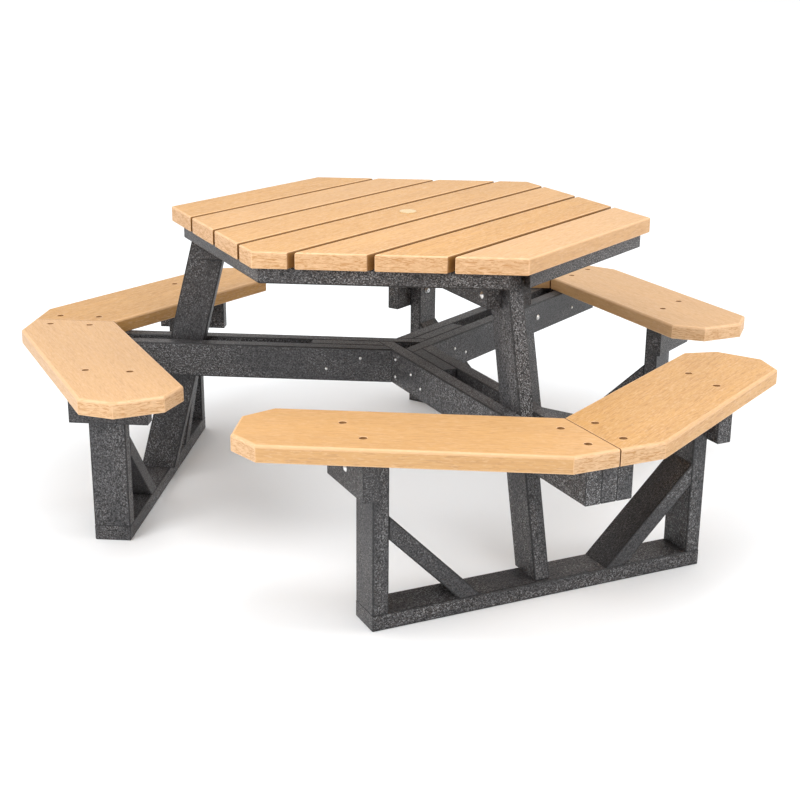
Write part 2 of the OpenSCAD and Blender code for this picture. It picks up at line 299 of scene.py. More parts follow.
def store_grain(thing, axes, seed):
    """Stores each point's place along, across and through its board, moved on by the board's seed."""
    mesh = thing.data
    centre = sum((vert.co for vert in mesh.vertices), Vector()) / len(mesh.vertices)
    shift = GRAIN_SHIFT * seed
    grain = mesh.attributes.new("grain", "FLOAT_VECTOR", "POINT")
    for vert in mesh.vertices:
        local = vert.co - centre
        grain.data[vert.index].vector = Vector([local.dot(axis) for axis in axes]) + shift
    tone = mesh.attributes.new("tone", "FLOAT", "POINT")
    tone.data.foreach_set("value", [scattered(seed)] * len(mesh.vertices))


def scattered(seed):
    """A number from 0 to 1 that jumps about from seed to seed and is the same on each run."""
    return (math.sin(seed * 12.9898) * 43758.5453) % 1.0


def rising(value, start, slope=4):
    """0 up to a start, then a straight rise to 1."""
    return min(1.0, max(0.0, (value - start) * slope))


def store_faces(thing, along, sides, cuts, joints):
    """Marks the sawn ends, the eased edges and the recesses of a board, from 0 to 1.

    A recess is a bored hole, or a side that faces another board across a narrow gap. The tan finish paints
    shade into the recesses; the eased edges get a painted highlight on tan boards and painted shade on
    charcoal ones.
    """
    mesh = thing.data
    names = ("sawn", "edge", "recess")
    sawn, edge, recess = (mesh.attributes.new(name, "FLOAT", "FACE").data for name in names)
    for face in mesh.polygons:
        inside = any(in_bore(face.center, place, cut[1]) for cut in cuts for place in cut[0])
        turned = max([face.normal.dot(way) for way in joints], default=0.0)
        # How much painted shade a face gets: full inside a bore, rising as it turns to face a neighbour
        # across a gap.
        hidden = 1.0 if inside else rising(turned, HIDDEN_FROM)
        eased = max(face.normal.dot(side) for side in sides) < PARALLEL
        sawn[face.index].value = rising(abs(face.normal.dot(along)), SAWN_FROM)
        recess[face.index].value = hidden
        edge[face.index].value = 1.0 - hidden if eased else 0.0


def in_bore(point, place, radius):
    """Whether a point is inside a bore, below its chamfered mouth."""
    mouth, outward = place
    offset = point - mouth
    depth = -offset.dot(outward)
    return depth > BORE_MOUTH and (offset + outward * depth).length < radius + BORE_PLAY


def build_board(name, points, rounding, seed, cuts=(), joints=()):
    """One board with eased edges: rounding(edge, along) gives each edge's radius.

    The joints are the directions in which the board faces another one across a narrow gap.
    """
    solid = hull_of(points)
    axes = board_axes(solid)
    along = axes[0]
    sides = [face.normal.copy() for face in solid.faces]
    weight = solid.edges.layers.float.new("bevel_weight_edge")
    widest = max(rounding(edge, along) for edge in solid.edges)
    for edge in solid.edges:
        edge[weight] = rounding(edge, along) / widest
    board = object_from(name, solid)
    bevel = board.modifiers.new("eased edges", "BEVEL")
    bevel.limit_method = "WEIGHT"
    bevel.width = widest
    bevel.segments = ROUND_SEGMENTS
    tools = []
    for index, (places, radius, depth, rim) in enumerate(cuts):
        tool = cutter(f"{name}_cutter_{index}", places, radius, depth, rim)
        tools.append(tool)
        bore = board.modifiers.new("bores", "BOOLEAN")
        bore.operation = "DIFFERENCE"
        bore.solver = "EXACT"
        bore.object = tool
    normals = board.modifiers.new("flat sides", "WEIGHTED_NORMAL")
    normals.keep_sharp = True
    normals.weight = FLAT_SIDE_WEIGHT
    settle(board)
    for tool in tools:
        bpy.data.objects.remove(tool)
    store_grain(board, axes, seed)
    store_faces(board, along, sides, cuts, joints)
    return board


def is_long(edge, along):
    """Whether an edge runs along the board's length."""
    way = (edge.verts[1].co - edge.verts[0].co).normalized()
    return abs(way.dot(along)) > PARALLEL


def is_level(edge):
    """Whether an edge is horizontal."""
    return abs(edge.verts[1].co.z - edge.verts[0].co.z) < SAME_HEIGHT


def is_top(edge):
    """Whether an edge bounds an upward face."""
    return any(face.normal.z > 0.9 for face in edge.link_faces)


def screw_places(node):
    """The place of each screw of a group: (axis point, lowest height, highest height)."""
    places = []
    for part in loose_parts(node):
        low, high = corners(part)
        places.append((middle(part), low.z, high.z))
    return places


def inside_outline(point, points):
    """Whether a point lies within the plan of a convex board."""
    solid = hull_of([Vector((p.x, p.y, z)) for p in points for z in (0, 1)])
    walls = [face for face in solid.faces if abs(face.normal.z) < 0.5]
    probe = Vector((point.x, point.y, 0.5))
    depths = [(face.calc_center_median() - probe).dot(face.normal) for face in walls]
    solid.free()
    return min(depths) >= EDGE_MARGIN


# ---- Shader maths ------------------------------------------------------------------------------


class Wire:
    """A number that varies over a surface: arithmetic on it adds the Math nodes."""

    def __init__(self, nodes, socket):
        self.nodes = nodes
        self.socket = socket

    def _math(self, operation, first, second):
        return self.nodes.node("ShaderNodeMath", {"operation": operation}, {0: first, 1: second})

    def __add__(self, other):
        return self._math("ADD", self, other)

    def __radd__(self, other):
        return self._math("ADD", other, self)

    def __sub__(self, other):
        return self._math("SUBTRACT", self, other)

    def __rsub__(self, other):
        return self._math("SUBTRACT", other, self)

    def __mul__(self, other):
        return self._math("MULTIPLY", self, other)

    def __pow__(self, other):
        return self._math("POWER", self, other)


class Nodes:
    """A node tree under construction."""

    def __init__(self, tree):
        self.tree = tree

    def node(self, kind, settings=None, inputs=None, output=0):
        """Adds a node: its settings first, then the values or links of its sockets."""
        made = self.tree.nodes.new(kind)
        for key, value in (settings or {}).items():
            setattr(made, key, value)
        for key, value in (inputs or {}).items():
            self.join(value, made.inputs[key])
        return Wire(self, made.outputs[output])

    def join(self, value, socket):
        """Links a wire to a socket, or sets the socket's own value."""
        if isinstance(value, Wire):
            self.tree.links.new(value.socket, socket)
        else:
            socket.default_value = value

    def attribute(self, name, output="Fac"):
        """Reads a value that is stored on the mesh."""
        return self.node("ShaderNodeAttribute", {"attribute_name": name}, output=output)

    def noise(self, vector, stretch=None, scale=1.0, detail=2.0, roughness=0.5, distortion=0.0):
        """Smooth noise, from 0 to 1: the stretch is how fast it varies along each axis."""
        if stretch:
            settings = {"operation": "MULTIPLY"}
            vector = self.node("ShaderNodeVectorMath", settings, {0: vector, 1: stretch})
        values = {"Vector": vector, "Scale": scale, "Detail": detail}
        values.update({"Roughness": roughness, "Distortion": distortion})
        return self.node("ShaderNodeTexNoise", inputs=values)

    def step(self, wire, low, high):
        """0 below low and 1 above high, with a smooth rise between."""
        return self.node(
            "ShaderNodeMapRange",
            {"interpolation_type": "SMOOTHSTEP"},
            {"Value": wire, "From Min": low, "From Max": high},
        )

    def mix(self, amount, first, second):
        """Blends two colours."""
        made = self.tree.nodes.new("ShaderNodeMix")
        made.data_type = "RGBA"
        colours = [socket for socket in made.inputs if socket.type == "RGBA"]
        self.join(amount, made.inputs[0])
        self.join(first, colours[0])
        self.join(second, colours[1])
        out = next(socket for socket in made.outputs if socket.type == "RGBA")
        return Wire(self, out)


class Finish(Nodes):
    """A material under construction, around one Principled shader."""

    def __init__(self, name, **constants):
        self.material = bpy.data.materials.new(name)
        self.material.use_nodes = True
        super().__init__(self.material.node_tree)
        self.shader = self.tree.nodes["Principled BSDF"]
        for socket, value in constants.items():
            self.shader.inputs[socket.replace("_", " ")].default_value = value

    def varies(self, socket, wire):
        """Drives one of the shader's inputs from a wire."""
        self.join(wire, self.shader.inputs[socket])

    def bump(self, height, strength, distance):
        """Feeds a height into the shader's normal."""
        values = {"Height": height, "Strength": strength, "Distance": distance}
        self.varies("Normal", self.node("ShaderNodeBump", inputs=values))


def paint(colour, factor=1.0):
    """A colour as a shader's four numbers, made lighter or darker by a factor."""
    return tuple(min(1.0, part * factor) for part in colour[:3]) + (1.0,)


def tan_lumber(colours):
    """Tan plastic lumber: long and short streaks along the board, and paler streaked sawn ends, with a
    painted highlight on the eased edges and painted shade in the holes and the narrow gaps.
    """
    finish = Finish("tan_lumber", IOR=1.45, Specular_IOR_Level=0.5)
    grain = finish.attribute("grain", "Vector")
    streak = finish.noise(grain, (9.0, 170.0, 170.0), detail=3.0, roughness=0.6, distortion=0.4)
    dash = finish.noise(grain, (34.0, 290.0, 290.0), detail=2.0, roughness=0.6, distortion=0.4)
    glint = finish.noise(grain, (60.0, 310.0, 310.0), detail=1.0, roughness=0.5, distortion=0.6)
    cloud = finish.noise(grain, (3.0, 16.0, 16.0), detail=2.0, roughness=0.5)
    tear = finish.noise(grain, (50.0, 48.0, 330.0), detail=3.0, roughness=0.65, distortion=1.2)
    sawn = finish.attribute("sawn")
    body = finish.mix(finish.step(cloud, 0.35, 0.65), paint(colours.tan), paint(colours.tan, 1.08))
    body = finish.mix(finish.step(streak, 0.42, 0.66) * 0.45, body, paint(colours.tan_grain))
    body = finish.mix(finish.step(dash, 0.54, 0.68) * 0.40, body, paint(colours.tan_fleck))
    body = finish.mix(finish.step(glint, 0.54, 0.66) * 0.45, body, paint(colours.tan_sawn))
    end = paint(colours.tan_sawn)
    end = finish.mix(finish.step(tear, 0.46, 0.62) * 0.8, end, paint(colours.tan_grain))
    end = finish.mix(finish.step(tear, 0.42, 0.32), end, paint(colours.tan_sawn, 1.2))
    body = finish.mix(finish.attribute("tone") ** 2 * 0.45, body, paint(colours.tan_sawn))
    body = finish.mix(sawn * 0.80, body, end)
    # Painted highlight: the eased edges are made paler, as if catching the light.
    body = finish.mix(finish.attribute("edge") * 0.45, body, paint(colours.tan_sawn, 1.2))
    # Painted shade: the holes and the narrow gaps between boards are darkened where shade falls.
    body = finish.mix(finish.attribute("recess") * 0.80, body, paint(colours.tan_painted_shade))
    finish.varies("Base Color", body)
    finish.varies("Roughness", 0.36 + finish.step(dash, 0.3, 0.7) * 0.14 + sawn * 0.12)
    finish.bump(streak * 0.5 + dash * 0.4 + sawn * tear * 0.6, 0.5, 0.0008)
    return finish.material


def charcoal_lumber(colours):
    """Charcoal plastic lumber: a gritty skin, salted with pale and black grains, with painted shade along
    the eased edges.
    """
    finish = Finish("charcoal_lumber", IOR=1.47)
    grain = finish.attribute("grain", "Vector")
    grit = finish.noise(grain, (300.0, 360.0, 360.0), detail=2.0, roughness=0.6, distortion=0.4)
    salt = finish.noise(grain, (260.0, 310.0, 310.0), scale=1.1, detail=1.0, roughness=0.5, distortion=0.6)
    pit = finish.noise(grain, (190.0, 240.0, 240.0), scale=1.1, detail=1.0, roughness=0.5, distortion=0.7)
    cloud = finish.noise(grain, (3.5, 13.0, 13.0), detail=3.0, roughness=0.55)
    patch = finish.step(cloud, 0.35, 0.65)
    body = finish.mix(patch, paint(colours.charcoal), paint(colours.charcoal_warm))
    body = finish.mix(finish.step(grit, 0.44, 0.58) * 0.85, body, paint(colours.charcoal, 3.1))
    body = finish.mix(finish.step(pit, 0.48, 0.58) * 0.95, body, paint(colours.charcoal, 0.08))
    body = finish.mix(finish.step(salt, 0.56, 0.63) * (0.15 + patch * 0.60), body, paint(colours.speck))
    body = finish.mix(finish.attribute("tone") * 0.45, body, paint(colours.charcoal, 0.75))
    # Painted shade: the eased edges are darkened to dark lines along the seams between boards.
    body = finish.mix(finish.attribute("edge") * 0.75, body, paint(colours.charcoal, 0.25))
    finish.varies("Base Color", body)
    finish.varies("Roughness", 0.36 + finish.step(grit, 0.35, 0.65) * 0.24)
    finish.bump(grit * 0.6 + salt * 0.5 - pit * 0.6, 0.9, 0.0014)
    return finish.material


def stainless(colours):
    """Satin stainless steel with fine turning marks and faint stains."""
    finish = Finish("stainless", Metallic=1.0)
    place = finish.node("ShaderNodeTexCoord", output="Object")
    marks = finish.noise(place, (900.0, 900.0, 2600.0), detail=3.0, roughness=0.6)
    stain = finish.noise(place, scale=90.0, detail=3.0, roughness=0.6)
    body = finish.mix(finish.step(stain, 0.35, 0.75) * 0.6, paint(colours.steel), paint(colours.steel, 0.72))
    finish.varies("Base Color", body)
    finish.varies("Roughness", 0.24 + marks * 0.18)
    finish.bump(marks, 0.15, 0.0002)
    return finish.material


def moulded_cream(colours):
    """Moulded off-white plastic with a faint orange-peel skin and scuffs."""
    finish = Finish("moulded_cream", IOR=1.5)
    place = finish.node("ShaderNodeTexCoord", output="Object")
    skin = finish.noise(place, scale=700.0)
    scuff = finish.noise(place, (220.0, 60.0, 220.0), detail=4.0, roughness=0.65)
    body = finish.mix(finish.step(scuff, 0.55, 0.75) * 0.5, paint(colours.cream), paint(colours.cream, 0.82))
    finish.varies("Base Color", body)
    finish.varies("Roughness", 0.34 + finish.step(scuff, 0.45, 0.75) * 0.2)
    finish.bump(skin, 0.12, 0.0003)
    return finish.material


def pale_floor(colours):
    """A plain pale studio floor with a barely mottled surface."""
    finish = Finish("pale_floor", Roughness=0.9)
    place = finish.node("ShaderNodeTexCoord", output="Object")
    mottle = finish.noise(place, scale=1.5, detail=3.0)
    finish.varies("Base Color", finish.mix(mottle * 0.3, paint(colours.floor), paint(colours.floor, 0.99)))
    return finish.material


FINISHES = {}


def finish_of(context, maker):
    """The material that a function makes, made once."""
    name = maker.__name__
    if name not in FINISHES:
        FINISHES[name] = maker(context.scene.picnic_colours)
    return FINISHES[name]


def dress(thing, material, body, slot, *nodes):
    """Gives a finished piece its material and its body, and hides the frame nodes that it stands for."""
    thing.data.materials.clear()
    thing.data.materials.append(material)
    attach(thing, body)
    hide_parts(*nodes)


# ---- Settings ----------------------------------------------------------------------------------


def length(name, description, default):
    """A setting in metres."""
    return bpy.props.FloatProperty(
        name=name, description=description, default=default, unit="LENGTH"
    )


def angle(name, description, degrees):
    """A setting that is an angle."""
    return bpy.props.FloatProperty(
        name=name, description=description, default=math.radians(degrees), unit="ROTATION"
    )


def strength(name, description, default):
    """A setting that is never negative."""
    return bpy.props.FloatProperty(name=name, description=description, default=default, min=0)


def colour(name, description, default):
    """A colour, as linear red, green and blue."""
    return bpy.props.FloatVectorProperty(
        name=name, description=description, default=default, subtype="COLOR", size=3, min=0, max=1
    )


class PicnicSizes(bpy.types.PropertyGroup):
    """Sizes of the details that the frame's solids leave out."""

    plank_round: length("Plank rounding", "Radius of a plank's long edges", 0.004)
    plank_end_round: length("Plank end rounding", "Radius of the upper sawn edges", 0.004)
    seat_round: length("Seat rounding", "Radius around a seat's upper face", 0.0065)
    frame_round: length("Frame rounding", "Radius of a frame board's long edges", 0.0035)
    sawn_round: length("Sawn rounding", "Radius of plain sawn edges", 0.0015)
    mitre_round: length("Mitre rounding", "Radius of the edges along a seat mitre", 0.0016)
    counterbore: length("Counterbore", "Diameter of the holes in the seats", 0.017)
    recess: length("Recess", "Diameter of the holes in the undersides", 0.014)
    rim: length("Rim", "Chamfer at a hole's mouth", 0.0012)
    pole_hole: length("Umbrella hole", "Diameter of the umbrella hole", 0.040)
    plug_flange: length("Plug flange", "Diameter of the plug's flange", 0.044)


class PicnicColours(bpy.types.PropertyGroup):
    """Colours of the boards, the fasteners, the plug and the floor."""

    tan: colour("Tan", "Light tan of the planks and seats", (0.505, 0.265, 0.075))
    tan_grain: colour("Tan grain", "Deeper tan of the grain", (0.40, 0.182, 0.044))
    tan_fleck: colour("Fleck", "Brown flecks in the tan boards", (0.25, 0.108, 0.030))
    # Also gives the painted highlight on the eased edges, made 1.2 times lighter.
    tan_sawn: colour("Sawn tan", "Paler tan of the sawn faces", (0.635, 0.41, 0.235))
    # Painted shade: the brown painted into the holes and the narrow gaps between boards.
    tan_painted_shade: colour("Recessed tan", "Soiled brown of the holes and the narrow gaps", (0.19, 0.080, 0.017))
    charcoal: colour("Charcoal", "Dark grey of the frame boards", (0.029, 0.028, 0.030))
    charcoal_warm: colour("Warm charcoal", "Brownish patches in the frame boards", (0.045, 0.037, 0.033))
    speck: colour("Speck", "Pale specks in the frame boards", (0.34, 0.34, 0.345))
    steel: colour("Steel", "Stainless steel of the fasteners", (0.80, 0.80, 0.79))
    cream: colour("Cream", "Off-white of the umbrella plug", (0.58, 0.43, 0.24))
    floor: colour("Floor", "Pale studio floor", (0.93, 0.952, 0.972))


class PicnicStage(bpy.types.PropertyGroup):
    """The camera and the lights."""

    azimuth: angle("Azimuth", "Direction of the camera from the table", 214.55)
    elevation: angle("Elevation", "Height angle of the camera", 18.02)
    roll: angle("Roll", "Turn of the camera about its own axis", 0.54)
    distance: length("Distance", "Distance from the camera to its target", 3.664)
    lens: bpy.props.FloatProperty(
        name="Lens", description="Focal length on a 36 mm wide sensor, in millimetres", default=62.33
    )
    target: bpy.props.FloatVectorProperty(
        name="Target", description="Point the camera looks at, from the foot of the hub axis",
        subtype="TRANSLATION", size=3, default=(-0.0106, 0.0117, 0.2487), unit="LENGTH",
    )
    zenith: strength("Zenith", "Strength of the surroundings overhead", 1.30)
    horizon: strength("Horizon", "Strength of the surroundings at eye level", 0.80)
    key_power: strength("Key light", "Power of the large left light, in watts", 54.0)
    fill_power: strength("Fill light", "Power of the large right light, in watts", 40.0)
    top_power: strength("Top light", "Power of the small overhead light, in watts", 19.0)


# ---- Boards ------------------------------------------------------------------------------------


def plank_rounding(sizes):
    """Edge radii of the planks of the top."""

    def radius(edge, along):
        if is_long(edge, along):
            return sizes.plank_round if is_top(edge) else sizes.frame_round
        if is_level(edge):
            return sizes.plank_end_round if is_top(edge) else sizes.sawn_round
        return sizes.frame_round * 0.7

    return radius


def seat_rounding(sizes, unit):
    """Edge radii of a seat: crisp along the mitre, round along the rest of its upper face."""
    out = radial(unit)
    tangent = UP.cross(out)

    def radius(edge, along):
        if any(abs(face.normal.dot(tangent)) > 0.999 for face in edge.link_faces):
            return sizes.mitre_round
        if is_level(edge):
            return sizes.seat_round if is_top(edge) else sizes.seat_round * 0.45
        return sizes.sawn_round * 1.4

    return radius


def frame_rounding(sizes):
    """Edge radii of the frame boards."""

    def radius(edge, along):
        return sizes.frame_round if is_long(edge, along) else sizes.sawn_round

    return radius


def recess_cuts(points, screws, sizes):
    """Bores up into a board's underside for the screws whose heads sit inside it."""
    low, high = corners(points)
    places = []
    depth = 0.0
    for centre, bottom, _top in screws:
        if not low.z < bottom < high.z or not inside_outline(centre, points):
            continue
        places.append((Vector((centre.x, centre.y, low.z)), -UP))
        depth = bottom + PAN_HEIGHT - low.z
    if not places:
        return []
    return [(places, sizes.recess / 2, depth, sizes.rim * 0.5)]


def frame_boards(context, nodes, screws=(), seed=0):
    """Builds every board of some charcoal frame nodes."""
    sizes = context.scene.picnic_sizes
    material = finish_of(context, charcoal_lumber)
    for node in nodes:
        parts = loose_parts(node)
        for index, part in enumerate(parts):
            name = f"board_{node}" + (f"_{index + 1}" if len(parts) > 1 else "")
            seed += 1
            cuts = recess_cuts(part, screws, sizes)
            board = build_board(name, part, frame_rounding(sizes), seed, cuts)
            dress(board, material, FRAME_BODY, "frame_board", node)


class PICNIC_OT_top_planks(bpy.types.Operator):
    """The planks of the top, cut to the hexagon, with the umbrella hole in the middle one"""

    bl_idname = "picnic.top_planks"
    bl_label = "Top planks"

    def execute(self, context):
        sizes = context.scene.picnic_sizes
        material = finish_of(context, tan_lumber)
        centre = hub()
        for seed, node in enumerate(PLANKS, start=1):
            part = points_of(node)
            low, high = corners(part)
            cuts = []
            if low.y < centre.y < high.y:
                mouth = Vector((centre.x, centre.y, high.z))
                depth = high.z - low.z + OVERSHOOT
                cuts.append(([(mouth, UP)], sizes.pole_hole / 2, depth, sizes.rim))
            joints = [way for way, last in ((ACROSS, PLANKS[-1]), (-ACROSS, PLANKS[0])) if node != last]
            board = build_board(f"board_{node}", part, plank_rounding(sizes), seed, cuts, joints)
            dress(board, material, FRAME_BODY, "tan_board", node)
        return {"FINISHED"}


class PICNIC_OT_cleats(bpy.types.Operator):
    """The cleats under the rim"""

    bl_idname = "picnic.cleats"
    bl_label = "Cleats"

    def execute(self, context):
        frame_boards(context, CLEATS, screw_places("top_screws"), seed=20)
        return {"FINISHED"}


class PICNIC_OT_bearers(bpy.types.Operator):
    """The bearers under the top, one on each side of every leg"""

    bl_idname = "picnic.bearers"
    bl_label = "Bearers"

    def execute(self, context):
        frame_boards(context, UPPER_FRAME, screw_places("top_screws"), seed=30)
        return {"FINISHED"}


class PICNIC_OT_arms(bpy.types.Operator):
    """The long and short arms and the spacers between them"""

    bl_idname = "picnic.arms"
    bl_label = "Arms"

    def execute(self, context):
        frame_boards(context, ARMS, seed=40)
        return {"FINISHED"}


class PICNIC_OT_legs(bpy.types.Operator):
    """The leaning legs"""

    bl_idname = "picnic.legs"
    bl_label = "Legs"

    def execute(self, context):
        frame_boards(context, LEGS, seed=60)
        return {"FINISHED"}


class PICNIC_OT_bench_frames(bpy.types.Operator):
    """The sills, posts, braces and brackets under the seats"""

    bl_idname = "picnic.bench_frames"
    bl_label = "Bench frames"

    def execute(self, context):
        frame_boards(context, SILLS, screw_places("sill_screws"), seed=70)
        frame_boards(context, POSTS, seed=80)
        frame_boards(context, BRACES, seed=90)
        frame_boards(context, BRACKETS, seed=100)
        return {"FINISHED"}


class PICNIC_OT_seats(bpy.types.Operator):
    """The seat boards, mitred in pairs, with counterbored screw holes"""

    bl_idname = "picnic.seats"
    bl_label = "Seats"

    def execute(self, context):
        sizes = context.scene.picnic_sizes
        material = finish_of(context, tan_lumber)
        screws = screw_places("seat_screws")
        for seed, node in enumerate(SEATS, start=10):
            part = points_of(node)
            surface = corners(part)[1].z
            places = []
            for centre, _bottom, top in screws:
                if inside_outline(centre, part):
                    places.append((Vector((centre.x, centre.y, surface)), UP))
                    depth = surface - top + PAN_HEIGHT
            cuts = [(places, sizes.counterbore / 2, depth, sizes.rim)]
            mitre = UP.cross(radial(unit_of(node))) * (1 if node.endswith("right") else -1)
            rounding = seat_rounding(sizes, unit_of(node))
            board = build_board(f"board_{node}", part, rounding, seed, cuts, [mitre])
            dress(board, material, FRAME_BODY, "tan_board", node)
        return {"FINISHED"}


# ---- Fasteners ---------------------------------------------------------------------------------


def placed(shape, places):
    """Copies of a shape, each moved by its own matrix, in one mesh."""
    everything = bmesh.new()
    source = bpy.data.meshes.new("shape")
    shape.to_mesh(source)
    for place in places:
        copy = source.copy()
        copy.transform(place)
        everything.from_mesh(copy)
        bpy.data.meshes.remove(copy)
    bpy.data.meshes.remove(source)
    return everything


def screw_shape(length, head_radius, head_height, shank_radius):
    """A pan-head screw with a star socket: the head's seat is at z = 0 and its top at +Z."""
    profile = [(0, -length), (shank_radius * 0.25, -length + 0.002)]
    profile += [(shank_radius, -length + 0.009), (shank_radius, 0), (head_radius, 0)]
    profile += [(head_radius, head_height * 0.35)]
    profile += [(head_radius * 0.93, head_height * 0.72), (head_radius * 0.72, head_height * 0.95)]
    profile += [(head_radius * 0.5, head_height), (0, head_height)]
    return lathe(profile, turns=24)


def socket_cutter(head_height, head_radius):
    """A six-lobed tool that cuts a screwdriver's socket into a head."""
    tool = bmesh.new()
    lobes = 6
    outline = []
    for turn in around(lobes * 6):
        radius = head_radius * (0.40 + 0.07 * math.cos(lobes * turn))
        outline.append(polar(radius, turn))
    levels = (head_height * 0.35, head_height * 1.5)
    skin(tool, [[tool.verts.new((x, y, level)) for x, y in outline] for level in levels])
    return tool


def socketed(shape, head_height, head_radius):
    """Cuts the socket into a screw's head."""
    screw = object_from("screw_blank", shape)
    tool = object_from("screw_socket", socket_cutter(head_height, head_radius))
    cut = screw.modifiers.new("socket", "BOOLEAN")
    cut.operation = "DIFFERENCE"
    cut.solver = "EXACT"
    cut.object = tool
    settle(screw)
    done = bmesh.new()
    done.from_mesh(screw.data)
    bpy.data.objects.remove(tool)
    bpy.data.objects.remove(screw)
    return done


def sharpen(thing, degrees):
    """Keeps corners sharper than an angle crisp in shading."""
    thing.data.set_sharp_from_angle(angle=math.radians(degrees))
    return thing


def screws(context, node, heads_up):
    """Rebuilds a group of upright screws at the places of the frame's own."""
    groups = {}
    for part in loose_parts(node):
        low, high = corners(part)
        groups.setdefault(round(high.z - low.z, 4), []).append(part)
    batches = []
    for total, parts in groups.items():
        centre = middle(parts[0])
        radius = max((point.xy - centre.xy).length for point in parts[0])
        shape = screw_shape(total - PAN_HEIGHT, radius, PAN_HEIGHT, radius * 0.5)
        shape = socketed(shape, PAN_HEIGHT, radius)
        places = []
        for part in parts:
            low, high = corners(part)
            place = middle(part)
            place.z = high.z - PAN_HEIGHT if heads_up else low.z + PAN_HEIGHT
            places.append(aimed(place, UP if heads_up else -UP))
        batches.append(placed(shape, places))
        shape.free()
    thing = sharpen(object_from(f"steel_{node}", merged(batches)), 35)
    dress(thing, finish_of(context, stainless), FRAME_BODY, "stainless", node)


def dome_profile(radius, height, seat):
    """The upper half of a domed head, from its rim to its crown, above a seat."""
    ball = (radius * radius + height * height) / (2 * height)
    lip = height * 0.22
    crown = []
    for step in range(7):
        out = radius * (1 - step / 6)
        up = math.sqrt(ball * ball - out * out) - (ball - height)
        crown.append((out, seat + max(lip * (1 - step / 6), up)))
    return [(radius, seat)] + crown


def bolt_shape(grip, shank, head, nut):
    """A domed bolt along +Z: head above z = grip, washer and nut below z = 0."""
    washer = NUT_SIDE - nut[1]
    rim = nut[0] * 1.2
    ease = 0.0003
    end = [(0, -NUT_SIDE), (shank * 0.8, -NUT_SIDE), (shank, 0.001 - NUT_SIDE), (shank, grip)]
    ring = [(0, -washer), (rim - ease, -washer), (rim, ease - washer)]
    ring += [(rim, -ease), (rim - ease, 0), (0, 0)]
    stem = lathe(end + dome_profile(*head, grip), turns=28)
    return merged([stem, lathe(ring, turns=28), hex_nut(*nut, -NUT_SIDE)])


def hex_nut(radius, height, base):
    """A hexagon nut with chamfered corners."""
    solid = bmesh.new()
    bevel = radius * 0.12
    levels = [
        (radius * 0.90, base), (radius, base + bevel),
        (radius, base + height - bevel), (radius * 0.90, base + height),
    ]
    half_side = math.pi / 6
    rings = []
    for reach, level in levels:
        ring = []
        for turn in around(24):
            flat = radius * math.cos(half_side) / math.cos(turn % (2 * half_side) - half_side)
            ring.append(solid.verts.new((*polar(min(flat, reach), turn), level)))
        rings.append(ring)
    skin(solid, rings)
    return solid


def off_axis(point, axis, way):
    """A point's distance from the line through axis along way."""
    offset = point - axis
    return (offset - way * offset.dot(way)).length


def head_end(part, axis, way):
    """1 if a bolt's domed head is at the far end along a direction, or else -1."""
    ends = {}
    for sign in (1, -1):
        far = max(point.dot(way) * sign for point in part)
        tip = [point for point in part if point.dot(way) * sign > far - 0.0005]
        ends[sign] = min(off_axis(point, axis, way) for point in tip)
    return 1 if ends[1] < ends[-1] else -1


def bolts(context, node, shank, head, nut=None):
    """Rebuilds a group of bolts, lags or side screws: head and nut give a radius and a height."""
    everything = []
    for part in loose_parts(node):
        way = bolt_way(part)
        axis = on_axis(part, way)
        way = way * head_end(part, axis, way)
        along = [point.dot(way) for point in part]
        length = max(along) - min(along) - head[1]
        if nut:
            grip = length - NUT_SIDE
            shape = bolt_shape(grip, shank, head, nut)
        else:
            grip = length
            point = [(0, 0), (shank * 0.3, 0), (shank, shank * 1.6), (shank, grip)]
            shape = lathe(point + dome_profile(*head, grip), turns=28)
        start = axis + way * (max(along) - axis.dot(way) - head[1] - grip)
        shape.transform(aimed(start, way))
        everything.append(shape)
    thing = sharpen(object_from(f"steel_{node}", merged(everything)), 40)
    dress(thing, finish_of(context, stainless), FRAME_BODY, "stainless", node)


def bolt_way(part):
    """The direction of a bolt, which lies along one of the units' sills."""
    centre = middle(part)
    ways = [UP.cross(radial(unit)) for unit in UNIT_ANGLES]
    return max(ways, key=lambda way: max(abs((point - centre).dot(way)) for point in part))


def on_axis(part, way):
    """The middle of a level bolt, on its own axis."""
    place = Vector()
    for direction in (way, UP, way.cross(UP)):
        reach = [point.dot(direction) for point in part]
        place += direction * (min(reach) + max(reach)) / 2
    return place


class PICNIC_OT_seat_screws(bpy.types.Operator):
    """The screws in the seats' counterbored holes"""

    bl_idname = "picnic.seat_screws"
    bl_label = "Seat screws"

    def execute(self, context):
        screws(context, "seat_screws", heads_up=True)
        return {"FINISHED"}


class PICNIC_OT_frame_screws(bpy.types.Operator):
    """The screws up into the planks and up through the sills"""

    bl_idname = "picnic.frame_screws"
    bl_label = "Frame screws"

    def execute(self, context):
        screws(context, "top_screws", heads_up=False)
        screws(context, "sill_screws", heads_up=False)
        return {"FINISHED"}


class PICNIC_OT_bolts(bpy.types.Operator):
    """The bracket bolts with their nuts, the leg bolts, the arm screws and the lags at the hub"""

    bl_idname = "picnic.bolts"
    bl_label = "Bolts"

    def execute(self, context):
        bolts(context, "bracket_bolts", nut=NUT, **BOLT)
        bolts(context, "leg_bolts", **BOLT)
        bolts(context, "arm_screws", **SIDE_SCREW)
        bolts(context, "hub_lags", **SIDE_SCREW)
        return {"FINISHED"}


